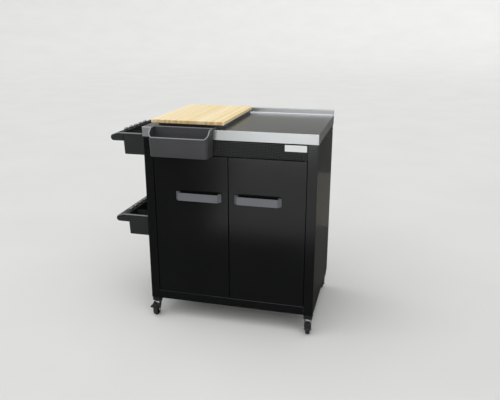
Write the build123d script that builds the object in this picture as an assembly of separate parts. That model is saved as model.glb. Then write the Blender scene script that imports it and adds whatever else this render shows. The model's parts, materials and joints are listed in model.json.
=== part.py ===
from build123d import *
import os

# Outdoor kitchen cabinet on casters, in millimetres. X runs to the right from the middle of the carcass,
# Y runs back from the worktop's front edge and Z runs up from the floor. The last section moves every
# piece so that the origin lies on the floor under the middle of the whole cabinet.

# Casters and the plastic sockets that plug into the feet of the posts
wheel_radius = 25
wheel_width = 20
tyre_edge = 5
tyre_depth = 8
hub_gap = 0.3
axle_radius = 3
axle_head = 5
axle_head_height = 3
caster_height = 70
caster_trail = 18
race_radius = 18
race_height = 4
race_edge = 1
kingpin_radius = 4
rivet_radius = 7
rivet_height = 3
stem_radius = 5
stem_length = 28
fork_sheet = 2.4
fork_gap = 3
boss_radius = 8
lever_start = 12
lever_width = 22
lever_reach = 58
lever_height = 5
lever_clearance = 2
lever_pin_radius = 2
lever_pin_out = 26
lever_boss = 4
pedal_width = 30
pedal_length = 22
pedal_corner = 4
socket_size = 38
socket_corner = 2
socket_height = 20
plug_height = 30
plug_clearance = 0.1
front_left_heading = 268
front_right_heading = 275
rear_left_heading = 282
rear_right_heading = 268

# Carcass: square steel posts clad in folded sheet
worktop_width = 770
worktop_depth = 530
worktop_height = 904
skirt_height = 42
side_overhang = 2
front_setback = 3
back_setback = 3
post_size = 40
post_wall = 1.5
panel_sheet = 1.2
bend_radius = 2
seam = 0.3
plinth_height = 40
fascia_height = 71
fascia_flange = 44
screw_radius = 2
screw_head = 4
screw_head_height = 2
screw_length = 12
screw_rows = 4

# Worktop: one folded stainless sheet with a skirt all round and an upstand along the back
worktop_sheet = 1.2
upstand_height = 25
upstand_from_left = 40
upstand_thickness = 12
cove_radius = 6
worktop_corner = 2
bearer_sheet = 1.5

# Shelf inside, on two angle brackets
inner_shelf_rise = 350
inner_shelf_lip = 20
bracket_leg = 20

# Doors: folded pans that turn on pins at their outer edges
door_gap = 2.5
door_depth = 20
door_return = 14
pivot_inset = 9
pivot_depth = 7
pin_radius = 3
pin_reach = 10
pin_head = 5
pin_head_height = 2
bush_radius = 5
bush_length = 12
bush_collar = 6.5
running_gap = 0.05
catch_width = 90
catch_depth = 15
catch_height = 14
strike_width = 30
strike_sheet = 1.5

# Handles: a flat strap bent out from the door on flared legs
handle_width = 176
handle_flare = 18
handle_reach = 25
handle_height = 35
handle_strap = 2.5
handle_bend = 3
handle_foot = 18
handle_from_middle = 133
handle_rise = 474
handle_screw_radius = 2
handle_screw_head = 3.5

# Blank plate on the fascia
plate_width = 92
plate_height = 27
plate_sheet = 1
plate_corner = 2
plate_from_post = 5
plate_from_skirt = 6.5

# Tray on the worktop, and the bamboo board that lies on it
tray_from_left = 60
tray_width = 303
tray_front = 30
tray_length = 462
tray_height = 21
tray_wall = 3
tray_floor = 2.5
tray_strip_height = 7
tray_strip_width = 6
tray_strip_inset = 1
tray_corner = 16
board_from_left = 47
board_width = 326
board_overhang = 10
board_length = 490
board_thickness = 15
board_corner = 12
board_edge = 3

# Waste bin that hangs in front of the worktop
bin_from_left = 60
bin_width = 265
bin_depth = 82
bin_door_clearance = 3.5
bin_front_height = 86
bin_rear_rise = 8
bin_wall = 3
bin_front_corner = 22
bin_rear_corner = 3
bin_bottom_edge = 2.5
bin_sweep_start = 3
bin_sweep_run = 39
bin_flange_depth = 55
bin_flange_inset = 12
bin_flange_thickness = 3
hanging_gap = 0.3

# Two side bins on hook rails on the left side
side_bin_front = 67
side_bin_length = 400
side_bin_pitch = 388
tub_depth = 131
tub_height = 100
tub_draft = 3
tub_corner = 8
tub_wall = 3
tub_rim = 3
tub_rim_height = 6
wing_flat = 150
wing_height = 39
wing_slope = 14
wing_shoulder = 10
wing_reach = 189
nose_radius = 13
tooth_count = 5
tooth_first = 70
tooth_pitch = 50
tooth_length = 28
tooth_width = 12
tooth_height = 9
tooth_corner = 4
tooth_edge = 3
divider_from_front = 88
divider_drop = 8
rail_sheet = 1.5
rail_drop = 18
rail_lip = 12
rail_foot = 20
rail_end = 15
hook_thickness = 2.2
hook_web = 2.5
hook_grip = 9
pad_length = 30
pad_height = 16
pad_low = 8
rail_screw_radius = 1.5
rail_screw_head = 3.5

# Levels and faces that follow from the sizes above
body_bottom = caster_height + socket_height
body_top = worktop_height - skirt_height
worktop_under = worktop_height - worktop_sheet
worktop_left = -worktop_width / 2
half_body = worktop_width / 2 - side_overhang
front_face = front_setback
back_face = worktop_depth - back_setback
post_outer = half_body - panel_sheet
post_inner = post_outer - post_size
post_middle = post_outer - post_size / 2
post_front = front_face + panel_sheet
post_back = back_face - panel_sheet
front_post_middle = post_front + post_size / 2
back_post_middle = post_back - post_size / 2
post_front_end = post_front + post_size
post_back_start = post_back - post_size
base_top = body_bottom + plinth_height
fascia_bottom = body_top - fascia_height
door_bottom = base_top + door_gap
door_top = fascia_bottom - door_gap
door_back = front_face + door_depth
door_outer = post_inner - door_gap
door_inner = door_gap / 2
pivot_x = door_outer - pivot_inset
pivot_y = front_face + pivot_depth
handle_middle = door_bottom + handle_rise
handle_foot_middle = handle_width / 2 + handle_flare - handle_foot / 2

nodes = {}


def block(x0, x1, y0, y1, z0, z1):
    """A box between two corners."""
    return Pos((x0 + x1) / 2, (y0 + y1) / 2, (z0 + z1) / 2) * Box(x1 - x0, y1 - y0, z1 - z0)


def upright(radius, x, y, z0, z1):
    """A round bar along Z."""
    return Pos(x, y, (z0 + z1) / 2) * Cylinder(radius, z1 - z0)


def along_x(radius, y, z, x0, x1):
    """A round bar along X."""
    return Pos((x0 + x1) / 2, y, z) * Rot(0, 90, 0) * Cylinder(radius, x1 - x0)


def along_y(radius, x, z, y0, y1):
    """A round bar along Y."""
    return Pos(x, (y0 + y1) / 2, z) * Rot(90, 0, 0) * Cylinder(radius, y1 - y0)


def edges_at(shape, axis, x=None, y=None, z=None):
    """The edges along an axis whose middles lie at the given coordinates."""
    wanted = [(0, x), (1, y), (2, z)]
    found = []
    for edge in shape.edges().filter_by(axis):
        middle = tuple(edge.center())
        if all(value is None or abs(middle[i] - value) < 0.01 for i, value in wanted):
            found.append(edge)
    return found


def group(solids):
    """Separate solids of one node."""
    return Compound(children=[solid for solid in solids])


def right_hand(shape):
    """The same piece on the other side of the carcass."""
    return mirror(shape, about=Plane.YZ)


# Posts: four square tubes, the rear ones drilled for the back panel's screws
screw_step = (body_top - body_bottom) / screw_rows
screw_levels = [body_bottom + screw_step * (row + 0.5) for row in range(screw_rows)]
bore_size = post_size - 2 * post_wall


def post(x, y):
    """One square tube standing on its caster socket."""
    section = Rectangle(post_size, post_size) - Rectangle(bore_size, bore_size)
    return Pos(x, y, body_bottom) * extrude(section, body_top - body_bottom)


def back_screw_holes(x):
    """Clearance holes for the screws that hold the back panel to a rear post."""
    radius = screw_radius + seam
    return [along_y(radius, x, z, back_face - screw_length, back_face) for z in screw_levels]


nodes["front_left_post"] = post(-post_middle, front_post_middle)
nodes["front_right_post"] = post(post_middle, front_post_middle)
nodes["rear_left_post"] = post(-post_middle, back_post_middle) - back_screw_holes(-post_middle)
nodes["rear_right_post"] = post(post_middle, back_post_middle) - back_screw_holes(post_middle)

# Side panels: a sheet over the side, folded round the front post
rail_lip_top = {"upper": body_top - rail_drop, "lower": body_top - side_bin_pitch - rail_drop}
rail_web_low = {level: top - rail_lip - rail_sheet for level, top in rail_lip_top.items()}
rail_screw_level = {level: low - rail_foot / 2 for level, low in rail_web_low.items()}
rail_front = side_bin_front + rail_end
rail_back = side_bin_front + side_bin_length - rail_end
rail_screw_places = [rail_front + rail_end, (rail_front + rail_back) / 2, rail_back - rail_end]


def side_panel():
    """The right-hand side panel."""
    side = block(post_outer, half_body, front_face, post_back, body_bottom, body_top)
    fold = block(post_inner, half_body, front_face, post_front, body_bottom, body_top)
    panel = side + fold
    return fillet(edges_at(panel, Axis.Z, x=half_body, y=front_face), bend_radius)


rail_holes = [
    along_x(rail_screw_radius + seam, y, z, -half_body, -post_outer)
    for z in rail_screw_level.values()
    for y in rail_screw_places
]
nodes["right_side_panel"] = side_panel()
nodes["left_side_panel"] = right_hand(side_panel()) - rail_holes

# Back panel: a flat sheet screwed to the rear posts
back_sheet = block(-half_body, half_body, post_back, back_face, body_bottom, body_top)
nodes["back_panel"] = back_sheet - back_screw_holes(-post_middle) - back_screw_holes(post_middle)
nodes["back_panel_screws"] = group(
    along_y(screw_radius, x, z, back_face - screw_length, back_face)
    + along_y(screw_head, x, z, back_face, back_face + screw_head_height)
    for x in (-post_middle, post_middle)
    for z in screw_levels
)

# Base panel: a pan with its four edges folded down, notched round the posts
half_base = post_inner - seam
base_sheet = block(-post_outer, post_outer, front_face, post_back, base_top - panel_sheet, base_top)
front_lip = block(-half_base, half_base, front_face, post_front, body_bottom, base_top)
back_lip = block(-half_base, half_base, post_back - panel_sheet, post_back, body_bottom, base_top)
side_lip = block(
    post_outer - panel_sheet,
    post_outer,
    post_front_end + seam,
    post_back_start - seam,
    body_bottom,
    base_top,
)
notches = [
    block(half_base, post_outer, front_face, post_front_end + seam, body_bottom, base_top),
    block(half_base, post_outer, post_back_start - seam, post_back, body_bottom, base_top),
]
pin_holes = [
    upright(pin_radius + running_gap, x, pivot_y, body_bottom, worktop_height) for x in (-pivot_x, pivot_x)
]
base = base_sheet - notches - [right_hand(notch) for notch in notches]
base = base + front_lip + back_lip + side_lip + right_hand(side_lip)
base = fillet(edges_at(base, Axis.X, y=front_face, z=base_top), bend_radius)
nodes["base_panel"] = base - pin_holes

# Fascia: a sheet between the posts above the doors, with a flange below that holds the door pins
fascia_front = block(-half_base, half_base, front_face, post_front, fascia_bottom, body_top)
flange_back = front_face + fascia_flange
flange_top = fascia_bottom + panel_sheet
fascia_shelf = block(-half_base, half_base, front_face, flange_back, fascia_bottom, flange_top)
fascia = fascia_front + fascia_shelf
fascia = fillet(edges_at(fascia, Axis.X, y=front_face, z=fascia_bottom), bend_radius)
flange_notch = block(half_base - seam, half_base, post_front, flange_back, fascia_bottom, body_top)
nodes["front_fascia"] = fascia - flange_notch - right_hand(flange_notch) - pin_holes

# Blank plate riveted to the fascia near its right end
plate_right = post_inner - plate_from_post
plate_top = body_top - plate_from_skirt
plate_face = RectangleRounded(plate_width, plate_height, plate_corner)
plate_centre = Pos(plate_right - plate_width / 2, front_face, plate_top - plate_height / 2)
nodes["blank_plate"] = plate_centre * extrude(Plane.XZ * plate_face, plate_sheet)

# Worktop: the cap is folded down at the front and sides, and up, over and down at the back. The upstand
# stops short of the left end.
upstand_front = worktop_depth - upstand_thickness
upstand_top = worktop_height + upstand_height
cap_outline = Polyline(
    (0, body_top),
    (0, worktop_height),
    (upstand_front, worktop_height),
    (upstand_front, upstand_top),
    (worktop_depth, upstand_top),
    (worktop_depth, body_top),
    close=True,
)
upstand_left = worktop_left + upstand_from_left
worktop_right = worktop_left + worktop_width
hollow_left = worktop_left + worktop_sheet
hollow_right = worktop_right - worktop_sheet
hollow_back = worktop_depth - worktop_sheet
cap = Pos(worktop_left, 0, 0) * extrude(Plane.YZ * make_face(cap_outline), worktop_width)
cap = fillet(edges_at(cap, Axis.X, y=upstand_front, z=worktop_height), cove_radius)
cap = fillet(edges_at(cap, Axis.Z, y=0) + edges_at(cap, Axis.X, y=0, z=worktop_height), worktop_corner)
cap = fillet(edges_at(cap, Axis.X, z=upstand_top), worktop_corner)
cap -= block(worktop_left, upstand_left, upstand_front - cove_radius, worktop_depth, worktop_height, upstand_top)
hollow = block(hollow_left, hollow_right, worktop_sheet, hollow_back, body_top, worktop_under)
hollow += block(
    upstand_left + worktop_sheet,
    hollow_right,
    upstand_front + worktop_sheet,
    hollow_back,
    worktop_under,
    upstand_top - worktop_sheet,
)
nodes["worktop"] = cap - hollow

# Bearers: two channels on the posts that carry the worktop
bearer_shell = block(post_inner, post_outer, post_front, post_back, body_top, worktop_under)
bearer_inside = block(
    post_inner,
    post_outer - bearer_sheet,
    post_front,
    post_back,
    body_top + bearer_sheet,
    worktop_under - bearer_sheet,
)
bearer = bearer_shell - bearer_inside
nodes["worktop_bearers"] = group([bearer, right_hand(bearer)])

# Inner shelf: a sheet with front and back lips, lying on angle brackets on the side panels
shelf_top = base_top + inner_shelf_rise
shelf_front = post_front_end + seam
shelf_back = post_back_start - seam
shelf_half = post_outer - seam
shelf_under = shelf_top - panel_sheet
shelf_low = shelf_top - inner_shelf_lip
inner_shelf = block(-shelf_half, shelf_half, shelf_front, shelf_back, shelf_under, shelf_top)
inner_shelf += block(-shelf_half, shelf_half, shelf_front, shelf_front + panel_sheet, shelf_low, shelf_top)
inner_shelf += block(-shelf_half, shelf_half, shelf_back - panel_sheet, shelf_back, shelf_low, shelf_top)
nodes["inner_shelf"] = fillet(edges_at(inner_shelf, Axis.X, y=shelf_front, z=shelf_top), bend_radius)

bracket_front = shelf_front + panel_sheet + seam
bracket_back = shelf_back - panel_sheet - seam
bracket_low = shelf_under - bracket_leg
bracket = block(post_outer - panel_sheet, post_outer, bracket_front, bracket_back, bracket_low, shelf_under)
bracket += block(
    post_outer - bracket_leg,
    post_outer,
    bracket_front,
    bracket_back,
    shelf_under - panel_sheet,
    shelf_under,
)
nodes["shelf_brackets"] = group([bracket, right_hand(bracket)])

# Door pins: the lower ones stand in the base panel, the upper ones hang from the fascia's flange
base_under = base_top - panel_sheet
lower_pin = upright(pin_radius, pivot_x, pivot_y, base_under, door_bottom + pin_reach)
lower_pin += upright(pin_head, pivot_x, pivot_y, base_under - pin_head_height, base_under)
upper_pin = upright(pin_radius, pivot_x, pivot_y, door_top - pin_reach, flange_top)
upper_pin += upright(pin_head, pivot_x, pivot_y, flange_top, flange_top + pin_head_height)
nodes["right_door_pins"] = group([lower_pin, upper_pin])
nodes["left_door_pins"] = group([right_hand(lower_pin), right_hand(upper_pin)])

# Magnetic catch under the fascia's flange, behind both doors' free edges
catch_front = door_back + strike_sheet + hanging_gap
nodes["magnet_catch"] = block(
    -catch_width / 2,
    catch_width / 2,
    catch_front,
    catch_front + catch_depth,
    fascia_bottom - catch_height,
    fascia_bottom,
)

# Doors: pans with a folded return, drilled for their bushes and handle screws
handle_screw_places = [
    handle_from_middle - handle_foot_middle,
    handle_from_middle + handle_foot_middle,
]


def door_panel():
    """The right-hand door."""
    outside = block(door_inner, door_outer, front_face, door_back, door_bottom, door_top)
    for edge_x in (door_inner, door_outer):
        outside = fillet(edges_at(outside, Axis.Z, x=edge_x, y=front_face), bend_radius)
    inside = block(
        door_inner + panel_sheet,
        door_outer - panel_sheet,
        post_front,
        door_back - panel_sheet,
        door_bottom + panel_sheet,
        door_top - panel_sheet,
    )
    opening = block(
        door_inner + door_return,
        door_outer - door_return,
        post_front,
        door_back,
        door_bottom + door_return,
        door_top - door_return,
    )
    bush_hole = upright(bush_radius + running_gap, pivot_x, pivot_y, door_bottom, door_top)
    screw_holes = [
        along_y(handle_screw_radius + seam, x, handle_middle, front_face, post_front)
        for x in handle_screw_places
    ]
    return outside - inside - opening - bush_hole - screw_holes


def door_bushes():
    """The right-hand door's lower and upper bushes, each with a collar that takes up the gap."""
    lower = upright(bush_radius, pivot_x, pivot_y, door_bottom, door_bottom + bush_length)
    lower += upright(bush_collar, pivot_x, pivot_y, base_top + hanging_gap, door_bottom)
    upper = upright(bush_radius, pivot_x, pivot_y, door_top - bush_length, door_top)
    upper += upright(bush_collar, pivot_x, pivot_y, door_top, fascia_bottom - hanging_gap)
    bore = upright(pin_radius + running_gap, pivot_x, pivot_y, base_top, fascia_bottom)
    return [lower - bore, upper - bore]


def door_handle():
    """The right-hand handle: feet turned inwards, flared legs and a flat front plate."""
    half_foot = handle_width / 2 + handle_flare
    middle = handle_strap / 2
    strap_line = FilletPolyline(
        (handle_foot - half_foot, -middle),
        (-half_foot, -middle),
        (-handle_width / 2, middle - handle_reach),
        (handle_width / 2, middle - handle_reach),
        (half_foot, -middle),
        (half_foot - handle_foot, -middle),
        radius=handle_bend,
    )
    strap = extrude(trace(strap_line, handle_strap), handle_height)
    strap = Pos(handle_from_middle, front_face, handle_middle - handle_height / 2) * strap
    holes = [
        along_y(handle_screw_radius + running_gap, x, handle_middle, front_face - handle_strap, front_face)
        for x in handle_screw_places
    ]
    return strap - holes


def handle_screws():
    """Two screws driven from inside the right-hand door into the handle's feet."""
    return [
        along_y(handle_screw_radius, x, handle_middle, front_face - handle_strap, post_front)
        + along_y(handle_screw_head, x, handle_middle, post_front, post_front + screw_head_height)
        for x in handle_screw_places
    ]


def door_strike():
    """The steel plate on the right-hand door that the magnet holds."""
    strike_left = door_inner + panel_sheet
    strike_high = door_top - panel_sheet
    return block(
        strike_left,
        strike_left + strike_width,
        door_back,
        door_back + strike_sheet,
        strike_high - catch_height,
        strike_high,
    )


nodes["right_door_panel"] = door_panel()
nodes["left_door_panel"] = right_hand(door_panel())
nodes["right_door_bushes"] = group(door_bushes())
nodes["left_door_bushes"] = group(right_hand(bush) for bush in door_bushes())
nodes["right_handle"] = door_handle()
nodes["left_handle"] = right_hand(door_handle())
nodes["right_handle_screws"] = group(handle_screws())
nodes["left_handle_screws"] = group(right_hand(screw) for screw in handle_screws())
nodes["right_door_strike"] = door_strike()
nodes["left_door_strike"] = right_hand(door_strike())

# Board tray: a shallow moulding on three rubber strips, which leave room under it for the bin's flange
tray_left = worktop_left + tray_from_left
tray_right = tray_left + tray_width
tray_back = tray_front + tray_length
tray_low = worktop_height + tray_strip_height
tray_depth = tray_height - tray_strip_height
tray_middle = Pos((tray_left + tray_right) / 2, (tray_front + tray_back) / 2, tray_low)
tray_outline = RectangleRounded(tray_width, tray_length, tray_corner)
tray = extrude(tray_outline, tray_depth)
tray -= Pos(0, 0, tray_floor) * extrude(offset(tray_outline, -tray_wall), tray_depth)
nodes["board_tray"] = tray_middle * tray

strip_front = tray_front + tray_corner
strip_back = tray_back - tray_corner
strip_left = tray_left + tray_strip_inset
strip_right = tray_right - tray_strip_inset
strip_rear = tray_back - tray_strip_inset
rear_strip_left = tray_left + tray_corner
rear_strip_right = tray_right - tray_corner
rear_strip_front = strip_rear - tray_strip_width
left_strip_end = strip_left + tray_strip_width
right_strip_start = strip_right - tray_strip_width
nodes["tray_strips"] = group(
    [
        block(strip_left, left_strip_end, strip_front, strip_back, worktop_height, tray_low),
        block(right_strip_start, strip_right, strip_front, strip_back, worktop_height, tray_low),
        block(rear_strip_left, rear_strip_right, rear_strip_front, strip_rear, worktop_height, tray_low),
    ]
)

# Chopping board: a solid slab with rounded corners and eased edges
board_low = worktop_height + tray_height
board_middle = Pos(
    worktop_left + board_from_left + board_width / 2, board_length / 2 - board_overhang, board_low
)
board = extrude(RectangleRounded(board_width, board_length, board_corner), board_thickness)
board = fillet(board.edges().group_by(Axis.Z)[0] + board.edges().group_by(Axis.Z)[-1], board_edge)
nodes["chopping_board"] = board_middle * board

# Waste bin: a moulded box whose sides sweep up to a taller back, where a flange reaches over the worktop
bin_bottom = door_top + bin_door_clearance
bin_front_rim = bin_bottom + bin_front_height
bin_rear_rim = worktop_height + bin_rear_rise
bin_left = worktop_left + bin_from_left
bin_right = bin_left + bin_width
bin_back = -hanging_gap
bin_front = -bin_depth
flange_left = bin_left + bin_flange_inset
flange_right = bin_right - bin_flange_inset


def bin_prism(inset, low, high):
    """The bin's outline, drawn in by a wall, between two levels."""
    outline = block(bin_left + inset, bin_right - inset, bin_front + inset, bin_back - inset, low, high)
    outline = fillet(edges_at(outline, Axis.Z, y=bin_front + inset), bin_front_corner - inset)
    return fillet(edges_at(outline, Axis.Z, y=bin_back - inset), bin_rear_corner)


sweep_foot = bin_front + bin_sweep_start
sweep_head = sweep_foot + bin_sweep_run
sweep_middle = ((sweep_foot + sweep_head) / 2, (bin_front_rim + bin_rear_rim) / 2)
lower_sweep = TangentArc((sweep_foot, bin_front_rim), sweep_middle, tangent=(1, 0))
upper_sweep = TangentArc(sweep_middle, (sweep_head, bin_rear_rim), tangent=lower_sweep % 1)
rim_line = [
    Line((bin_front, bin_front_rim), (sweep_foot, bin_front_rim)),
    lower_sweep,
    upper_sweep,
    Line((sweep_head, bin_rear_rim), (bin_back, bin_rear_rim)),
    Polyline(
        (bin_back, bin_rear_rim),
        (bin_back, bin_rear_rim + bin_depth),
        (bin_front, bin_rear_rim + bin_depth),
        (bin_front, bin_front_rim),
    ),
]
above_rim = Pos(bin_left, 0, 0) * extrude(Plane.YZ * make_face(rim_line), bin_width)
bin_outside = bin_prism(0, bin_bottom, bin_rear_rim)
bin_outside = fillet(bin_outside.edges().group_by(Axis.Z)[0], bin_bottom_edge)
bin_inside = bin_prism(bin_wall, bin_bottom + bin_wall, bin_rear_rim)
bin_inside = fillet(bin_inside.edges().group_by(Axis.Z)[0], bin_bottom_edge)
bin_flange_low = worktop_height + hanging_gap
bin_flange_top = bin_flange_low + bin_flange_thickness
bin_flange_front = bin_back - bin_wall
bin_flange = block(
    flange_left, flange_right, bin_flange_front, bin_flange_depth, bin_flange_low, bin_flange_top
)
nodes["waste_bin"] = bin_outside - bin_inside - above_rim + bin_flange

# Side bins: a tub with a rounded wing along its outer edge. Each is drawn from the panel's face, with its
# front end at Y = 0 and its rim at Z = 0, and hangs by a hook over the lip of a rail on the side panel.
lip_start = hanging_gap + hook_thickness + hanging_gap
lip_end = lip_start + rail_sheet
tub_back = lip_end + hanging_gap
hook_low = hanging_gap - rail_drop
hook_front = 2 * rail_end
hook_back = side_bin_length - 2 * rail_end


def tub_prism(inset, low):
    """The tub's outline, drawn in by a wall, tapering from its rim down to a level."""
    faces = []
    for level, draft in ((0, 0), (low, tub_draft)):
        depth = tub_depth - tub_back - draft - 2 * inset
        length = side_bin_length - 2 * draft - 2 * inset
        outline = RectangleRounded(depth, length, tub_corner - inset)
        faces.append(Pos(-tub_back - inset - depth / 2, side_bin_length / 2, level) * outline)
    return loft(faces)


def wing():
    """The hollow wing with its rounded nose, open below."""
    start = tub_wall - tub_depth
    section = FilletPolyline(
        (start, -wing_height),
        (start, 0),
        (-wing_flat, 0),
        (-wing_reach, -wing_slope),
        (-wing_reach, -wing_height),
        radius=[0, 0, wing_shoulder, nose_radius, nose_radius],
        close=True,
    )
    hollow_section = Polyline(
        (-tub_depth, -wing_height),
        (-tub_depth, -tub_wall),
        (-wing_flat, -tub_wall),
        (nose_radius - wing_reach, -wing_slope),
        (nose_radius - wing_reach, -wing_height),
        close=True,
    )
    hollow_length = side_bin_length - 2 * tub_wall
    bar = extrude(Plane.XZ * make_face(section), side_bin_length, dir=(0, 1, 0))
    bar_hollow = extrude(Plane.XZ * make_face(hollow_section), hollow_length, dir=(0, 1, 0))
    return bar - Pos(0, tub_wall, 0) * bar_hollow


def tooth(index):
    """One rounded tooth on the wing, which keeps hung tools apart."""
    middle = tooth_first + index * tooth_pitch
    outline = RectangleRounded(tooth_width, tooth_length, tooth_corner)
    body = extrude(outline, tub_wall + tooth_height)
    body = fillet(body.edges().group_by(Axis.Z)[-1], tooth_edge)
    return Pos(tooth_width / 2 - wing_flat, middle, -tub_wall) * body


def side_bin():
    """The whole moulding: tub, rim, wing, teeth, divider, hook and the pads that meet the panel."""
    rim_outline = RectangleRounded(tub_depth - tub_back, side_bin_length + 2 * tub_rim, tub_corner)
    rim_middle = Pos(-(tub_depth + tub_back) / 2, side_bin_length / 2, -tub_rim_height)
    moulding = tub_prism(0, -tub_height) + rim_middle * extrude(rim_outline, tub_rim_height) + wing()
    for index in range(tooth_count):
        moulding += tooth(index)
    moulding -= tub_prism(tub_wall, tub_wall - tub_height)
    moulding += block(
        tub_wall / 2 - tub_depth + tub_draft,
        -tub_back - tub_wall / 2,
        divider_from_front,
        divider_from_front + tub_wall,
        tub_wall / 2 - tub_height,
        -divider_drop,
    )
    root = -tub_back - tub_wall / 2
    hook_top = hook_low + hook_web
    moulding += block(root, -hanging_gap, hook_front, hook_back, hook_low, hook_top)
    drop_start = -hanging_gap - hook_thickness
    moulding += block(drop_start, -hanging_gap, hook_front, hook_back, -rail_drop - hook_grip, hook_top)
    pad_top = pad_low + pad_height - tub_height
    for pad_front in (hook_front, hook_back - pad_length):
        pad_back = pad_front + pad_length
        moulding += block(root, -hanging_gap, pad_front, pad_back, pad_low - tub_height, pad_top)
    return moulding


def hook_rail(level):
    """A strip screwed to the side panel, with a lip stood off from it for a side bin's hook."""
    top = rail_lip_top[level]
    web_low = rail_web_low[level]
    web_top = web_low + rail_sheet
    foot_low = web_low - rail_foot
    rail = block(-half_body - lip_end, -half_body - lip_start, rail_front, rail_back, web_low, top)
    rail += block(-half_body - lip_end, -half_body, rail_front, rail_back, web_low, web_top)
    rail += block(-half_body - rail_sheet, -half_body, rail_front, rail_back, foot_low, web_top)
    holes = [
        along_x(rail_screw_radius + seam, y, rail_screw_level[level], -half_body - rail_sheet, -half_body)
        for y in rail_screw_places
    ]
    return rail - holes


def rail_screw(y, z):
    """One pan-head screw through a rail and the side panel."""
    rail_face = -half_body - rail_sheet
    shank = along_x(rail_screw_radius, y, z, rail_face, -post_outer)
    return shank + along_x(rail_screw_head, y, z, rail_face - screw_head_height, rail_face)


side_bin_shape = side_bin()
for level, rim_level in (("upper", body_top), ("lower", body_top - side_bin_pitch)):
    nodes[f"{level}_side_bin"] = Pos(-half_body, side_bin_front, rim_level) * side_bin_shape
    nodes[f"{level}_hook_rail"] = hook_rail(level)
nodes["hook_rail_screws"] = group(
    rail_screw(y, z) for z in rail_screw_level.values() for y in rail_screw_places
)

# Caster sockets: blocks that stand under the posts and plug into their bores
plug_size = bore_size - 2 * plug_clearance


def caster_socket(x, y):
    """One socket, bored from below for the caster's stem."""
    foot = extrude(RectangleRounded(socket_size, socket_size, socket_corner), socket_height)
    plug = extrude(Rectangle(plug_size, plug_size), plug_height)
    stem_hole = upright(stem_radius + running_gap, 0, 0, 0, stem_length)
    return Pos(x, y, caster_height) * (foot + Pos(0, 0, socket_height) * plug - stem_hole)


# Casters: drawn with the stem on the Z axis and the wheel trailing along X
race_low = caster_height - race_height
crown_top = race_low - hanging_gap
crown_low = crown_top - fork_sheet
rivet_top = crown_low - hanging_gap
leg_inside = wheel_width / 2 + fork_gap
leg_outside = leg_inside + fork_sheet
hub_radius = wheel_radius - tyre_depth
lever_low = 2 * wheel_radius + lever_clearance
lever_pin_level = lever_low + lever_height / 2
axle_line = (caster_trail, wheel_radius)
lever_pin_line = (lever_pin_out, lever_pin_level)


def caster_stem():
    """The threaded stem, the swivel race and the kingpin with its riveted end."""
    race = upright(race_radius, 0, 0, race_low, caster_height)
    race = fillet(race.edges(), race_edge)
    stem = upright(stem_radius, 0, 0, caster_height, caster_height + stem_length)
    kingpin = upright(kingpin_radius, 0, 0, rivet_top - rivet_height, race_low)
    return race + stem + kingpin + upright(rivet_radius, 0, 0, rivet_top - rivet_height, rivet_top)


def caster_fork(has_lever):
    """A pressed crown with two legs that reach back to the axle."""
    crown = upright(race_radius, 0, 0, crown_low, crown_top)
    leg_outline = Polyline(
        (-race_radius / 2, crown_top),
        (race_radius / 2, crown_top),
        (lever_pin_out + lever_boss, lever_pin_level + lever_boss),
        (lever_pin_out + lever_boss, lever_pin_level - lever_boss),
        (caster_trail + boss_radius, wheel_radius),
        (caster_trail - boss_radius, wheel_radius),
        close=True,
    )
    leg_face = make_face(leg_outline) + Pos(*axle_line) * Circle(boss_radius)
    leg = extrude(Plane.XZ * leg_face, fork_sheet, dir=(0, 1, 0))
    fork = crown + Pos(0, leg_inside, 0) * leg + Pos(0, -leg_outside, 0) * leg
    fork -= upright(kingpin_radius + running_gap, 0, 0, crown_low, crown_top)
    fork -= along_y(axle_radius + running_gap, *axle_line, -leg_outside, leg_outside)
    if has_lever:
        fork -= along_y(lever_pin_radius + running_gap, *lever_pin_line, -leg_outside, leg_outside)
    return fork


def caster_axle():
    """A bolt with a head at each end, outside the fork's legs."""
    axle = along_y(axle_radius, *axle_line, -leg_outside, leg_outside)
    axle_end = leg_outside + axle_head_height
    axle += along_y(axle_head, *axle_line, leg_outside, axle_end)
    return axle + along_y(axle_head, *axle_line, -axle_end, -leg_outside)


def wheel_hub():
    """A plastic hub with bosses that run close to the fork's legs."""
    hub = along_y(hub_radius, *axle_line, -wheel_width / 2, wheel_width / 2)
    hub += along_y(boss_radius, *axle_line, hub_gap - leg_inside, leg_inside - hub_gap)
    return hub - along_y(axle_radius + running_gap, *axle_line, -leg_inside, leg_inside)


def wheel_tyre():
    """A rubber tread round the hub."""
    tread = along_y(wheel_radius, *axle_line, -wheel_width / 2, wheel_width / 2)
    tread = fillet(tread.edges(), tyre_edge)
    return tread - along_y(hub_radius, *axle_line, -wheel_width / 2, wheel_width / 2)


def brake_lever():
    """A pedal over the wheel, on pins moulded at its sides that turn in the fork's legs."""
    lever_high = lever_low + lever_height
    pedal_middle = lever_reach - pedal_length / 2
    arm = block(lever_start, pedal_middle, -lever_width / 2, lever_width / 2, lever_low, lever_high)
    pedal = extrude(RectangleRounded(pedal_length, pedal_width, pedal_corner), lever_height)
    lever = arm + Pos(pedal_middle, 0, lever_low) * pedal
    return lever + along_y(lever_pin_radius, *lever_pin_line, -leg_outside, leg_outside)


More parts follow.
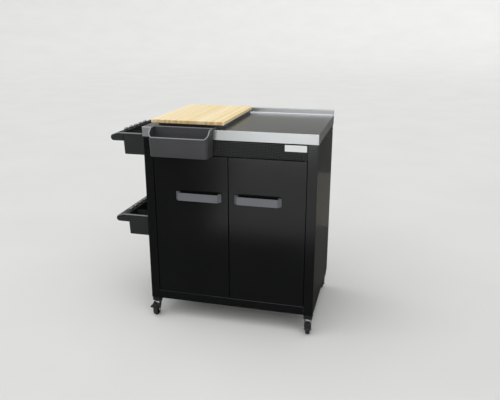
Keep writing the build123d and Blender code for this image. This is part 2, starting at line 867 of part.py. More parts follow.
corners = {
    "front_left": (-post_middle, front_post_middle, front_left_heading, True),
    "front_right": (post_middle, front_post_middle, front_right_heading, True),
    "rear_left": (-post_middle, back_post_middle, rear_left_heading, False),
    "rear_right": (post_middle, back_post_middle, rear_right_heading, False),
}
for corner, (x, y, heading, has_lever) in corners.items():
    turned = Pos(x, y, 0) * Rot(0, 0, heading)
    nodes[f"{corner}_caster_stem"] = turned * caster_stem()
    nodes[f"{corner}_fork"] = turned * caster_fork(has_lever)
    nodes[f"{corner}_axle"] = turned * caster_axle()
    nodes[f"{corner}_wheel_hub"] = turned * wheel_hub()
    nodes[f"{corner}_tyre"] = turned * wheel_tyre()
    if has_lever:
        nodes[f"{corner}_brake_lever"] = turned * brake_lever()
nodes["caster_sockets"] = group(caster_socket(x, y) for x, y, heading, has_lever in corners.values())

# The origin: on the floor, under the middle of the cabinet with its side bins and waste bin
left_reach = half_body + wing_reach
right_reach = worktop_width / 2
to_origin = Pos((left_reach - right_reach) / 2, (bin_depth - worktop_depth) / 2, 0)
os.makedirs("parts", exist_ok=True)
for name, shape in nodes.items():
    export_step(to_origin * shape, f"parts/{name}.step")
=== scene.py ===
import json
import math

import bmesh
import bpy
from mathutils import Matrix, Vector


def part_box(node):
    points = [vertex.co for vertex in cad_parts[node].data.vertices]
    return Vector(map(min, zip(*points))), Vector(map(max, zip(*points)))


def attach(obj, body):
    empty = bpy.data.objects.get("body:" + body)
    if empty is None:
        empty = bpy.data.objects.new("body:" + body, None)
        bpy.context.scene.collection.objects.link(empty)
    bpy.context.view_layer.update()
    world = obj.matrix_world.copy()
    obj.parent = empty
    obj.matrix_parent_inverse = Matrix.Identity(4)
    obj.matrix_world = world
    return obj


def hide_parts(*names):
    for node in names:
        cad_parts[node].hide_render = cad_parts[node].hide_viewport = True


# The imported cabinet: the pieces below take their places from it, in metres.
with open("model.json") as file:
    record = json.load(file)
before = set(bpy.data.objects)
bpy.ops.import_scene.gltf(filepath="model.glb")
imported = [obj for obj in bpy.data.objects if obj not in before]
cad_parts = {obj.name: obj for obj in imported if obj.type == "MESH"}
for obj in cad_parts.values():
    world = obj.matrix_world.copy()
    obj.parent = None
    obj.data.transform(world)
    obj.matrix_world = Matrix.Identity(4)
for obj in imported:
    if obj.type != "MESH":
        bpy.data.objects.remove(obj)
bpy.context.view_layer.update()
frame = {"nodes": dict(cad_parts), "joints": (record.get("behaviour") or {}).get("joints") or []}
nodes = frame["nodes"]
joints = {joint["name"]: joint for joint in frame["joints"]}
scene = bpy.context.scene
scene.view_settings.view_transform = "Standard"

# Camera: a normal lens at chest height, to the right of the cabinet and turned a little to the left. It
# looks down on the worktop.
tilt_down = 0.3028
turn_left = 0.2506
camera = bpy.data.objects.new("camera", bpy.data.cameras.new("camera"))
camera.location = (0.7596, -2.4419, 1.3242)
camera.rotation_euler = (math.pi / 2 - tilt_down, 0, turn_left)
camera.data.sensor_width = 36
camera.data.lens = 40.38
scene.collection.objects.link(camera)
scene.camera = camera


# Studio: a pale seamless floor that curves up into a round wall, an even grey surround, a broad soft
# lamp high on the left and a low softbox in front. The softbox and five cards only show in reflections.
class Shade:
    """One output of a material's nodes. A sum or product of shades and numbers adds its Math nodes."""

    def __init__(self, tree, socket):
        self.tree = tree
        self.socket = socket

    def node(self, kind, settings, inputs, output=0):
        """Any node: its settings are made first, then its sockets take values or other shades."""
        made = self.tree.nodes.new("ShaderNode" + kind)
        for name, value in settings.items():
            setattr(made, name, value)
        for name, value in inputs.items():
            if isinstance(value, Shade):
                self.tree.links.new(value.socket, made.inputs[name])
            else:
                made.inputs[name].default_value = value
        return Shade(self.tree, made.outputs[output])

    def math(self, operation, first, second=0.0):
        return self.node("Math", {"operation": operation}, {0: first, 1: second})

    def __add__(self, other):
        return self.math("ADD", self, other)

    def __sub__(self, other):
        return self.math("SUBTRACT", self, other)

    def __rsub__(self, other):
        return self.math("SUBTRACT", other, self)

    def __mul__(self, other):
        return self.math("MULTIPLY", self, other)

    def __truediv__(self, other):
        return self.math("DIVIDE", self, other)

    __radd__ = __add__
    __rmul__ = __mul__


def tone(code):
    """A colour from its screen code, as the linear values that a shader takes."""
    parts = [int(code[i:i + 2], 16) / 255 for i in (0, 2, 4)]
    return [c / 12.92 if c <= 0.04045 else ((c + 0.055) / 1.055) ** 2.4 for c in parts] + [1.0]


def new_finish(name, **constants):
    """A material with one shader, whose fixed sockets are set here, and the coordinates to paint it by."""
    finish = bpy.data.materials.new(name)
    finish.use_nodes = True
    tree = finish.node_tree
    shader = tree.nodes["Principled BSDF"]
    for socket, value in constants.items():
        shader.inputs[socket.replace("_", " ")].default_value = value
    return finish, shader, Shade(tree, tree.nodes.new("ShaderNodeTexCoord").outputs["Object"])


def feed(shader, socket, shade):
    """Leads a shade into one socket of a finish's shader."""
    shade.tree.links.new(shade.socket, shader.inputs[socket])


def cloud(place, scale, stretch=(1, 1, 1), detail=2.0):
    """Soft noise from 0 to 1, drawn out along the axes whose stretch is small."""
    drawn = place.node("VectorMath", {"operation": "MULTIPLY"}, {0: place, 1: stretch})
    return drawn.node("TexNoise", {}, {"Vector": drawn, "Scale": scale, "Detail": detail})


def between(mask, first, second):
    """The first colour where the mask is 0 and the second where it is 1."""
    colour_a, colour_b, mixed_colour = 6, 7, 2
    inputs = {0: mask, colour_a: first, colour_b: second}
    return mask.node("Mix", {"data_type": "RGBA"}, inputs, mixed_colour)


flat_radius = 12
wall_radius = 24
wall_height = 6.5
curve_steps = 16
floor_sides = 96
floor_turns = [2 * math.pi * side / floor_sides for side in range(floor_sides)]
floor_shape = bmesh.new()
floor_rings = []
for step in range(curve_steps + 1):
    share = step / curve_steps
    radius = flat_radius + (wall_radius - flat_radius) * share
    ring = [(radius * math.cos(a), radius * math.sin(a), wall_height * share ** 3) for a in floor_turns]
    floor_rings.append([floor_shape.verts.new(point) for point in ring])
floor_shape.faces.new(floor_rings[0])
for inner, outer in zip(floor_rings, floor_rings[1:]):
    for side in range(floor_sides):
        floor_shape.faces.new((inner[side - 1], inner[side], outer[side], outer[side - 1])).smooth = True
floor_mesh = bpy.data.meshes.new("floor")
floor_shape.to_mesh(floor_mesh)
floor_shape.free()
floor = bpy.data.objects.new("floor", floor_mesh)
scene.collection.objects.link(floor)
floor_finish, shader, place = new_finish("pale_floor", Roughness=0.75, Specular_IOR_Level=0.0)
feed(shader, "Base Color", between(cloud(place, 1.5), tone("d2d2d0"), tone("dadad8")))
floor_mesh.materials.append(floor_finish)

scene.world = bpy.data.worlds.new("surround")
scene.world.use_nodes = True
surround = scene.world.node_tree.nodes["Background"]
surround.inputs["Color"].default_value = (0.18, 0.178, 0.173, 1)
surround.inputs["Strength"].default_value = 1.0


def soft_lamp(name, kind, energy, place, target, **settings):
    """A lamp aimed at a point, hidden from the camera itself."""
    lamp = bpy.data.objects.new(name, bpy.data.lights.new(name, kind))
    lamp.data.energy = energy
    for setting, value in settings.items():
        setattr(lamp.data, setting, value)
    lamp.location = place
    lamp.rotation_euler = (Vector(target) - Vector(place)).to_track_quat("-Z", "Y").to_euler()
    lamp.visible_camera = False
    scene.collection.objects.link(lamp)
    return lamp


daylight = {"angle": math.radians(140), "color": (0.98, 0.99, 1.0)}
soft_lamp("key", "SUN", energy=3.9, place=(-1.2, -2.4, 3.4), target=(0, 0, 0.5), **daylight)
softbox_x = -0.35
softbox_z = 0.56
panel = {"shape": "RECTANGLE", "size": 1.1, "size_y": 0.62}
softbox_place = (softbox_x, -3.5, softbox_z)
softbox_aim = (softbox_x, 0, softbox_z)
softbox = soft_lamp("front_softbox", "AREA", energy=7.9, place=softbox_place, target=softbox_aim, **panel)
softbox.visible_diffuse = False


def card_finish(name, darker, lighter):
    """The matt face of a card."""
    finish, shader, place = new_finish(name, Roughness=0.9, Specular_IOR_Level=0.0)
    feed(shader, "Base Color", between(cloud(place, 2), tone(darker), tone(lighter)))
    return finish


def card(name, finish, corners):
    """A card that only reflections show, as dark board is set beside a shiny thing to be pictured."""
    mesh = bpy.data.meshes.new(name)
    mesh.from_pydata(corners, [], [tuple(range(len(corners)))])
    mesh.materials.append(finish)
    made = bpy.data.objects.new(name, mesh)
    made.visible_camera = False
    made.visible_diffuse = False
    made.visible_shadow = False
    scene.collection.objects.link(made)


def upright_card(name, finish, y, left, right, low, high):
    """A card that stands parallel to the cabinet's front."""
    card(name, finish, [(left, y, low), (right, y, low), (right, y, high), (left, y, high)])


dark_board = card_finish("dark_board", "4b4a48", "555452")
grey_board = card_finish("grey_board", "6c6963", "77746d")
above_floor = 0.002
floor_outline = [(-6, -7), (-1.45, -7), (-1.1, -4.6), (-0.85, -3.4), (-0.4, -1.4)]
floor_outline += [(1.8, -1.4), (1.8, 1.2), (-1.8, 1.2)]
right_card_split = 0.38
card("floor_card", dark_board, [(x, y, above_floor) for x, y in floor_outline])
upright_card("left_card", dark_board, y=-4.2, left=-4.5, right=-1.05, low=0, high=2.6)
upright_card("rear_card", grey_board, y=3.5, left=-3.8, right=1.5, low=0.3, high=3.4)
upright_card("right_card", dark_board, y=1.2, left=0.5, right=2.4, low=right_card_split, high=0.85)
upright_card("low_right_card", grey_board, y=1.2, left=0.5, right=2.4, low=0, high=right_card_split)


# Casters: grooved rubber tyres on plastic hubs, in chromed forks that swivel on ball races. Each wheel
# turns on a hexagon bolt, and the front two casters have a brake pedal with moulded ribs.
mm = 0.001


def relief(height, depth):
    """A bump of a real depth in metres."""
    return height.node("Bump", {}, {"Height": height, "Strength": 1.0, "Distance": depth})


def skin(shape, rings, endless=False):
    """Joins rings of points into one surface. A run that isn't endless gets a cap at each end."""
    rings = [[shape.verts.new(point) for point in ring] for ring in rings]
    count = len(rings[0])
    for index in range(0 if endless else 1, len(rings)):
        last, ring = rings[index - 1], rings[index]
        for point in range(count):
            shape.faces.new((last[point - 1], last[point], ring[point], ring[point - 1]))
    if not endless:
        shape.faces.new(rings[0])
        shape.faces.new(rings[-1])


def turn(shape, profile, centre, axis, steps):
    """Turns a closed profile of (radius, along) points, in millimetres, about an axis."""
    axis = Vector(axis).normalized()
    side = axis.orthogonal().normalized()
    across = axis.cross(side)
    rings = []
    for step in range(steps):
        angle = 2 * math.pi * step / steps
        out = side * math.cos(angle) + across * math.sin(angle)
        rings.append([Vector(centre) + (out * radius + axis * along) * mm for radius, along in profile])
    skin(shape, rings, endless=True)


def bar(shape, section, start, end, up):
    """A straight bar of a closed section of (across, up) points, in millimetres."""
    along = (Vector(end) - Vector(start)).normalized()
    up = Vector(up).normalized()
    across = along.cross(up)
    rings = [[Vector(at) + (across * a + up * b) * mm for a, b in section] for at in (start, end)]
    skin(shape, rings)


def fit(name, shape, finish, body, slot, *stands_for):
    """Makes a finished mesh into a piece that moves with a body, in place of the nodes it stands for."""
    bmesh.ops.remove_doubles(shape, verts=shape.verts, dist=1e-6)
    bmesh.ops.recalc_face_normals(shape, faces=shape.faces)
    mesh = bpy.data.meshes.new(name)
    shape.to_mesh(mesh)
    shape.free()
    mesh.polygons.foreach_set("use_smooth", [True] * len(mesh.polygons))
    mesh.set_sharp_from_angle(angle=math.radians(35))
    mesh.materials.append(finish)
    piece = bpy.data.objects.new(name, mesh)
    scene.collection.objects.link(piece)
    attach(piece, body)
    if stands_for:
        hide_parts(*stands_for)
    return piece


def coat(finish, *names):
    """Gives nodes that keep their own shape a finish."""
    for name in names:
        for slot in nodes[name].material_slots:
            slot.material = finish


def both_sides(half):
    """A wheel's closed profile, from the half on one side of its middle."""
    return half + [(radius, -along) for radius, along in reversed(half)]


rubber, shader, place = new_finish("tyre_rubber", Specular_IOR_Level=0.35)
dust = cloud(place, 60)
feed(shader, "Base Color", between(dust, tone("232325"), tone("3a3a3b")))
feed(shader, "Roughness", 0.55 + dust * 0.25)
feed(shader, "Normal", relief(cloud(place, 900), 0.0002))

black_plastic, shader, place = new_finish("moulded_black_plastic", Specular_IOR_Level=0.4)
grain = cloud(place, 1500)
feed(shader, "Base Color", between(cloud(place, 25), tone("141517"), tone("1e1f21")))
feed(shader, "Roughness", 0.42 + grain * 0.16)
feed(shader, "Normal", relief(grain, 0.00012))

chrome, shader, place = new_finish("caster_chrome", Metallic=1.0)
smear = cloud(place, 40)
feed(shader, "Base Color", between(smear, tone("c6c8ca"), tone("dcdee0")))
feed(shader, "Roughness", 0.16 + smear * 0.16)
feed(shader, "Normal", relief(cloud(place, 300), 0.00008))

zinc, shader, place = new_finish("zinc_plate", Metallic=1.0)
mottle = cloud(place, 90)
feed(shader, "Base Color", between(mottle, tone("a9adb0"), tone("c4c8cb")))
feed(shader, "Roughness", 0.28 + mottle * 0.2)
feed(shader, "Normal", relief(cloud(place, 700), 0.00006))

caster_height = 70 * mm
tyre_radius = 25
groove_radius = 24.2
rim_radius = 17
half_width = 10
shoulder = 5
tyre_half = [(rim_radius, -half_width), (19.5, -half_width)]
for angle in (0.3, 0.7, 1.1, 1.4):
    radius = tyre_radius - shoulder + shoulder * math.sin(angle)
    along = shoulder - half_width - shoulder * math.cos(angle)
    tyre_half.append((radius, along))
tyre_half += [(tyre_radius, -4.4), (groove_radius, -4.1), (groove_radius, -3.2), (tyre_radius, -2.9)]
hub_half = [(3.1, 12.7), (7.2, 12.7), (8, 11.9), (8, 5.6), (9, 5), (13.6, 5), (14.6, 5.8)]
hub_half += [(14.6, 9.3), (15.2, half_width), (rim_radius, half_width)]
fork_half = 15.4
axle_rod = [(0, -fork_half), (3, -fork_half), (3, fork_half), (0, fork_half)]
bolt_head = [(0, fork_half), (5.6, fork_half), (5.6, 17.6), (4.8, 18.4), (0, 18.4)]
washer = [(0, fork_half), (6.6, fork_half), (6.6, 16), (0, 16)]
race_cap = [(17.4, -7.2), (18.4, -7.2), (19.2, -6.4), (19.2, -4.9), (18.6, -4.2), (17.4, -4.2)]
rib_section = [(-1.1, 0), (-0.9, 0.8), (0, 1.2), (0.9, 0.8), (1.1, 0)]
rib_count = 5
rib_pitch = 4
first_rib = 39.5
rib_half = 12 * mm
rib_sink = 0.2 * mm
for corner in ("front_left", "front_right", "rear_left", "rear_right"):
    spin = joints[corner + "_wheel_spin"]
    axle_centre = Vector(spin["pos_m"])
    axle_line = Vector(spin["axis"])
    stem_low, stem_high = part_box(corner + "_caster_stem")
    stem_middle = (stem_low + stem_high) / 2
    trail = Vector((axle_centre.x - stem_middle.x, axle_centre.y - stem_middle.y, 0)).normalized()

    tyre = bmesh.new()
    turn(tyre, both_sides(tyre_half), axle_centre, axle_line, steps=64)
    fit(corner + "_tread", tyre, rubber, corner + "_wheel", "tyre_black", corner + "_tyre")
    hub = bmesh.new()
    turn(hub, both_sides(hub_half), axle_centre, axle_line, steps=48)
    fit(corner + "_hub", hub, black_plastic, corner + "_wheel", "black_plastic", corner + "_wheel_hub")
    bolt = bmesh.new()
    for side in (1, -1):
        turn(bolt, bolt_head, axle_centre, axle_line * side, steps=6)
        turn(bolt, washer, axle_centre, axle_line * side, steps=32)
    turn(bolt, axle_rod, axle_centre, axle_line, steps=24)
    fit(corner + "_axle_bolt", bolt, zinc, corner + "_swivel", "zinc_steel", corner + "_axle")
    cap = bmesh.new()
    turn(cap, race_cap, (stem_middle.x, stem_middle.y, caster_height), (0, 0, 1), steps=48)
    fit(corner + "_race_cap", cap, chrome, corner + "_swivel", "caster_chrome")
    coat(chrome, corner + "_caster_stem", corner + "_fork")

    if corner.startswith("front"):
        pedal_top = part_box(corner + "_brake_lever")[1].z
        ribs = bmesh.new()
        for rib in range(rib_count):
            out = trail * (first_rib + rib * rib_pitch) * mm
            middle = Vector((stem_middle.x, stem_middle.y, pedal_top - rib_sink)) + out
            bar(ribs, rib_section, middle - axle_line * rib_half, middle + axle_line * rib_half, (0, 0, 1))
        fit(corner + "_pedal_ribs", ribs, black_plastic, corner + "_brake", "black_plastic")
        coat(black_plastic, corner + "_brake_lever")
coat(black_plastic, "caster_sockets")


# Carcass: square tube posts with side panels, back, base and inner shelf of folded steel sheet, all in a
# satin black powder coat. The back panel is held by pan-head screws along both rear posts.
black_coat, shader, place = new_finish("satin_black_coat", Specular_IOR_Level=0.47)
peel = cloud(place, 700)
haze = cloud(place, 4)
feed(shader, "Base Color", between(haze, tone("090a0b"), tone("0f1011")))
feed(shader, "Roughness", 0.12 + haze * 0.07 + peel * 0.04)
feed(shader, "Normal", relief(peel, 0.00006))
coat(black_coat, "front_left_post", "front_right_post", "rear_left_post", "rear_right_post")
coat(black_coat, "left_side_panel", "right_side_panel", "back_panel", "base_panel")
coat(black_coat, "inner_shelf", "shelf_brackets")


def screw_head(shape, centre, axis, radius, height):
    """A pan head with a cross recess, standing on a face, in millimetres. Each arm of the cross is three
    steps of the turn wide."""
    axis = Vector(axis).normalized()
    side = axis.orthogonal().normalized()
    across = axis.cross(side)
    rings = []
    steps = 32
    for step in range(steps):
        angle = 2 * math.pi * step / steps
        out = side * math.cos(angle) + across * math.sin(angle)
        in_cross = step % (steps // 4) in (0, 1, 7)
        recess = radius * (0.62 if in_cross else 0.2)
        profile = [(0, height * 0.35), (recess * 0.8, height * 0.45), (recess, height * 0.98)]
        profile += [(radius * 0.7, height * 0.95), (radius * 0.92, height * 0.7), (radius, height * 0.35)]
        profile += [(radius, 0), (0, 0)]
        rings.append([Vector(centre) + (out * r + axis * a) * mm for r, a in profile])
    skin(shape, rings, endless=True)


back_low, back_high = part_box("back_panel_screws")
panel_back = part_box("back_panel")[1].y
screw_rows = 4
edge_to_screw = 4 * mm
screw_gap = (back_high.z - back_low.z - 2 * edge_to_screw) / (screw_rows - 1)
heads = bmesh.new()
for x in (back_low.x + edge_to_screw, back_high.x - edge_to_screw):
    for row in range(screw_rows):
        z = back_low.z + edge_to_screw + row * screw_gap
        screw_head(heads, (x, panel_back, z), (0, 1, 0), radius=4.2, height=2.2)
fit("back_screw_heads", heads, zinc, "cabinet", "zinc_steel", "back_panel_screws")


# Fascia: a strip of sheet steel in a greyer coat above the doors, punched all over with small staggered
# holes and folded back at its lower edge. It sits between the front posts, with a gap above and below.
fascia_low, fascia_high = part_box("front_fascia")
front = fascia_low.y
sheet = 1.2 * mm
bend_radius = 1.2 * mm
gap_below = 1.2 * mm
gap_above = 2.5 * mm
face_low = fascia_low.z + gap_below
face_high = fascia_high.z - gap_above
bend_low = face_low + bend_radius
hole_radius = 2.65 * mm
hole_pitch = 13 * mm
row_pitch = 6.5 * mm
margin = 5 * mm
top_margin = 3 * mm
column_count = int((fascia_high.x - fascia_low.x - 2 * margin) / hole_pitch)
row_count = int((fascia_high.z - fascia_low.z - margin - top_margin) / row_pitch)
punched_left = fascia_low.x + margin
punched_right = punched_left + column_count * hole_pitch
punched_low = fascia_low.z + margin
punched_high = punched_low + row_count * row_pitch
fascia = bmesh.new()


def flat(shape, *points):
    """One flat face through points."""
    shape.faces.new([shape.verts.new(point) for point in points])


def plain_patch(x0, x1, z0, z1):
    """An unpunched patch of the fascia's face."""
    flat(fascia, (x0, front, z0), (x1, front, z0), (x1, front, z1), (x0, front, z1))


rim_steps = [(1, 0), (1, 1), (0, 1), (-1, 1), (-1, 0), (-1, -1), (0, -1), (1, -1)]
hole_turns = [i * math.pi / 4 for i in range(8)]
for row in range(row_count):
    low = punched_low + row * row_pitch
    shift = hole_pitch / 2 if row % 2 else 0
    for column in range(column_count - row % 2):
        x = punched_left + shift + (column + 0.5) * hole_pitch
        z = low + row_pitch / 2
        rim = [(x + a * hole_pitch / 2, front, z + b * row_pitch / 2) for a, b in rim_steps]
        hole = [(x + hole_radius * math.cos(a), front, z + hole_radius * math.sin(a)) for a in hole_turns]
        for i in range(len(rim)):
            flat(fascia, hole[i - 1], rim[i - 1], rim[i], hole[i])
    if row % 2:
        plain_patch(punched_left, punched_left + hole_pitch / 2, low, low + row_pitch)
        plain_patch(punched_right - hole_pitch / 2, punched_right, low, low + row_pitch)
plain_patch(fascia_low.x, punched_left, bend_low, face_high)
plain_patch(punched_right, fascia_high.x, bend_low, face_high)
plain_patch(punched_left, punched_right, bend_low, punched_low)
plain_patch(punched_left, punched_right, punched_high, face_high)
fold = [(front, bend_low)]
for angle in (0.4, 0.8, 1.2, math.pi / 2):
    fold.append((front + bend_radius * (1 - math.cos(angle)), bend_low - bend_radius * math.sin(angle)))
fold.append((fascia_high.y, face_low))
for (y0, z0), (y1, z1) in zip(fold, fold[1:]):
    left_edge = [(fascia_low.x, y0, z0), (fascia_low.x, y1, z1)]
    right_edge = [(fascia_high.x, y1, z1), (fascia_high.x, y0, z0)]
    flat(fascia, *left_edge, *right_edge)
punched_coat, shader, place = new_finish("grey_black_coat", Specular_IOR_Level=0.45)
peel = cloud(place, 700)
feed(shader, "Base Color", between(cloud(place, 4), tone("1c1d1e"), tone("232425")))
feed(shader, "Roughness", 0.4 + peel * 0.1)
feed(shader, "Normal", relief(peel, 0.00006))
fascia_piece = fit("punched_fascia", fascia, punched_coat, "cabinet", "black_steel", "front_fascia")
thickness = fascia_piece.modifiers.new("sheet", "SOLIDIFY")
thickness.thickness = sheet
thickness.offset = -1


# Blank plate: a small brushed aluminium plate with rounded corners, left bare. It lies flat on the fascia
# near its right-hand end.
plate_finish, shader, place = new_finish("plate_aluminium", Metallic=0.35)
brush = cloud(place, 1, (30, 1, 2200))
feed(shader, "Base Color", between(brush, tone("d4d5d5"), tone("e4e5e5")))
feed(shader, "Roughness", 0.34 + brush * 0.2)
coat(plate_finish, "blank_plate")


# Worktop: one folded stainless sheet, brushed from side to side, with a skirt all round, an upstand along
# the back and a coved corner between. Zinc-plated channels carry it on the posts.
stainless, shader, place = new_finish("brushed_stainless", Metallic=1.0)
strokes = cloud(place, 1, (5, 900, 900), 3.0)
wipe = cloud(place, 3)
feed(shader, "Base Color", between(strokes, tone("b6b8b9"), tone("cdcfd0")))
feed(shader, "Roughness", 0.26 + strokes * 0.14 + wipe * 0.08)
feed(shader, "Normal", relief(strokes, 0.00004))
coat(stainless, "worktop")
coat(zinc, "worktop_bearers")


# Doors: two folded steel pans in the same black coat on pins at their outer edges, with plastic bushes and
# a magnet catch. Each has a strap handle bent from satin grey aluminium.
coat(black_coat, "left_door_panel", "right_door_panel")
coat(zinc, "left_door_pins", "right_door_pins", "left_door_strike", "right_door_strike")
coat(zinc, "left_handle_screws", "right_handle_screws")
coat(black_plastic, "left_door_bushes", "right_door_bushes", "magnet_catch")
handle_grey, shader, place = new_finish("satin_grey_strap", Metallic=0.35)
satin = cloud(place, 1, (12, 300, 500), 3.0)
feed(shader, "Base Color", between(satin, tone("67696d"), tone("75777b")))
feed(shader, "Roughness", 0.4 + satin * 0.16)
feed(shader, "Normal", relief(cloud(place, 1200), 0.00005))
coat(handle_grey, "left_handle", "right_handle")


# Tray and board: a dark grey moulded tray stands on the worktop on rubber strips, and a laminated bamboo
# board lies across it. The board's strips run from front to back.
grey_plastic, shader, place = new_finish("moulded_grey_plastic", Specular_IOR_Level=0.4)
grain = cloud(place, 1300)
feed(shader, "Base Color", between(cloud(place, 12), tone("3a3a3c"), tone("424244")))
feed(shader, "Roughness", 0.46 + grain * 0.18)
feed(shader, "Normal", relief(grain, 0.00012))
# The tray's plastic is a lighter, bluer copy of the bin's grey. The lift is painted light against the
# board's shadow, and the bluish tint is its own.
tray_grey_painted_lighter, shader, place = new_finish("moulded_tray_grey", Specular_IOR_Level=0.45)
grain = cloud(place, 1300)
feed(shader, "Base Color", between(cloud(place, 12), tone("3b3d40"), tone("45474a")))
feed(shader, "Roughness", 0.4 + grain * 0.16)
feed(shader, "Normal", relief(grain, 0.0001))
coat(tray_grey_painted_lighter, "board_tray")
coat(rubber, "tray_strips")


def rounded_loop(low, high, radii, inset):
    """A rounded rectangle seen from above, as points round it, drawn in by an inset in millimetres.
    The radii are those of the back and front corners."""
    corner_steps = 8
    side_steps = 24
    least_radius = 0.5
    points = []
    for quarter, (side_x, side_y) in enumerate(((1, 1), (-1, 1), (-1, -1), (1, -1))):
        radius = radii[0 if side_y > 0 else 1]
        reach = max(radius - inset, least_radius)
        to_middle = reach + inset
        centre_x = (high.x if side_x > 0 else low.x) - side_x * to_middle * mm
        centre_y = (high.y if side_y > 0 else low.y) - side_y * to_middle * mm
        for step in range(corner_steps + 1):
            angle = math.pi / 2 * (quarter + step / corner_steps)
            x = centre_x + reach * mm * math.cos(angle)
            y = centre_y + reach * mm * math.sin(angle)
            points.append((x, y))
    loop = []
    for index, (x, y) in enumerate(points):
        loop.append((x, y))
        if index % (corner_steps + 1) == corner_steps:
            next_x, next_y = points[(index + 1) % len(points)]
            for step in range(1, side_steps):
                loop.append((x + (next_x - x) * step / side_steps, y + (next_y - y) * step / side_steps))
    return loop


tray_low, tray_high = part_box("board_tray")
strip_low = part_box("tray_strips")[0].z
bin_low, bin_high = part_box("waste_bin")
tray_radii = (16, 16)
skirt_top = tray_low.z + 1.5 * mm
skirt_rise = 0.7 * mm
notch_rise = 4.8 * mm
notch_inset = 7 * mm
notch_depth = 1 * mm


def skirt_level(x, y):
    """The lower edge of the tray's skirt, which is notched at the front over the bin's flange."""
    at_front = y < tray_low.y + notch_depth
    over_flange = at_front and bin_low.x + notch_inset < x < bin_high.x - notch_inset
    return strip_low + (notch_rise if over_flange else skirt_rise)


tray_outline = rounded_loop(tray_low, tray_high, tray_radii, 0)
skirt_foot = [skirt_level(x, y) for x, y in tray_outline]
skirt_head = [skirt_top] * len(tray_outline)
skirt_rings = []
for inset, levels in ((0.9, skirt_foot), (0.15, skirt_foot), (0.05, skirt_head), (0.9, skirt_head)):
    loop = rounded_loop(tray_low, tray_high, tray_radii, inset)
    skirt_rings.append([(x, y, level) for (x, y), level in zip(loop, levels)])
skirt = bmesh.new()
skin(skirt, skirt_rings, endless=True)
fit("tray_skirt", skirt, tray_grey_painted_lighter, "board_tray", "grey_plastic")


def ramp(value, start, end, first, last):
    """A shade that goes from first to last while another goes from start to end."""
    limits = {"From Min": start, "From Max": end, "To Min": first, "To Max": last}
    return value.node("MapRange", {}, {"Value": value, **limits})


board_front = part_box("chopping_board")[0].y
strip_width = 10.2 * mm
knuckle_pitch = 0.14
bamboo, shader, place = new_finish("laminated_bamboo", Specular_IOR_Level=0.35)
x = place.node("SeparateXYZ", {}, {0: place}, 0)
y = place.node("SeparateXYZ", {}, {0: place}, 1)
strip = x / strip_width
number = x.math("FLOOR", strip)
tint = number.node("TexWhiteNoise", {"noise_dimensions": "1D"}, {"W": number})
fibre = cloud(place, 1, (700, 9, 700), 3.0)
streak = cloud(place, 1, (210, 4, 210), 3.0)
from_knuckle = x.math("PINGPONG", y + tint * 0.4, knuckle_pitch) * (1 / knuckle_pitch)
knuckle = ramp(from_knuckle, 0.0, 0.035, 1.0, 0.0)
from_middle = x.math("ABSOLUTE", x.math("FRACT", strip) - 0.5)
seam = ramp(from_middle, 0.47, 0.5, 0.0, 1.0)
end_grain = ramp(y, board_front + 0.5 * mm, board_front + 3 * mm, 1.0, 0.0)
ground = between(tint, tone("fff6d8"), tone("f4dca6"))
grained = between(fibre * 0.15 + streak * 0.3, ground, tone("dfb873"))
marked = between(knuckle * 0.25 + seam * 0.3, grained, tone("a87f45"))
feed(shader, "Base Color", between(end_grain * (0.64 + tint * 0.25), marked, tone("ae8c57")))
feed(shader, "Roughness", 0.42 + fibre * 0.2)
feed(shader, "Normal", relief(fibre, 0.00008))
coat(bamboo, "chopping_board")


# Waste bin: a moulded grey bin that hangs in front of the worktop. Its rim is a rolled bead that sweeps up
# the side walls, painted paler as a highlight, and its back folds over into a flange that lies under the
# tray.
bin_depth = 81.7 * mm
bin_radii = (3, 22)
bin_floor = bin_low.z
bin_back = bin_low.y + bin_depth
back_start = bin_back - 2 * mm
rim_rise = 34 * mm
rear_rim = bin_high.z
front_rim = rear_rim - rim_rise
rise_start = 2
rise_run = 56
corner_arc = 34.6
bin_end = Vector((bin_high.x, bin_back, rear_rim))
bin_outline = rounded_loop(bin_low, bin_end, bin_radii, 0)


def rim_level(y):
    """The height of the rim, which starts to rise at the front corners, at a place from front to back."""
    radius = bin_radii[1]
    behind = (y - bin_low.y) / mm
    along = radius * math.acos(1 - behind / radius) if behind < radius else corner_arc + behind - radius
    share = min(max((along - rise_start) / rise_run, 0), 1)
    return front_rim + (rear_rim - front_rim) * share * share * (3 - 2 * share)


def bin_ring(inset, drop):
    """One ring of the bin's skin: an inset from its outline, at a drop below the rim, in millimetres.
    A ring that stands out from the walls doesn't stand out from the back."""
    ring = []
    for (x, y), (near_x, near_y) in zip(rounded_loop(bin_low, bin_end, bin_radii, inset), bin_outline):
        if inset < 0 and near_y > back_start:
            x, y = near_x, near_y
        ring.append((x, y, rim_level(near_y) - drop * mm))
    return ring


def bin_level(inset, rise):
    """One level ring of the bin's skin, at a rise above its floor, in millimetres."""
    return [(x, y, bin_floor + rise * mm) for x, y in rounded_loop(bin_low, bin_end, bin_radii, inset)]


outer_foot = [(6, 0), (4.7, 0.5), (3.8, 1.4), (3.4, 2.8)]
rim_edge = [(0, 5), (0, 2), (3, 2), (3, 5)]
inner_foot = [(6.4, 6), (7.4, 3.8), (9.4, 3)]
bin_rings = [bin_level(inset, rise) for inset, rise in outer_foot]
bin_rings += [bin_ring(inset, drop) for inset, drop in rim_edge]
bin_rings += [bin_level(inset, rise) for inset, rise in inner_foot]
waste = bmesh.new()
skin(waste, bin_rings)
flange_section = [(0, 0), (0, -3), (-55.3, -3), (-55.3, -0.6), (-54.7, 0)]
flange_rise = 3.3 * mm
flange_inset = 12 * mm
flange_overlap = 0.5 * mm
flange_left = bin_low.x + flange_inset
flange_right = bin_high.x - flange_inset
flange_start = Vector((flange_left, bin_back - flange_overlap, strip_low + flange_rise))
flange_end = flange_start + Vector((flange_right - flange_left, 0, 0))
bar(waste, flange_section, flange_start, flange_end, (0, 0, 1))
fit("waste_bin_moulding", waste, grey_plastic, "waste_bin", "grey_plastic", "waste_bin")
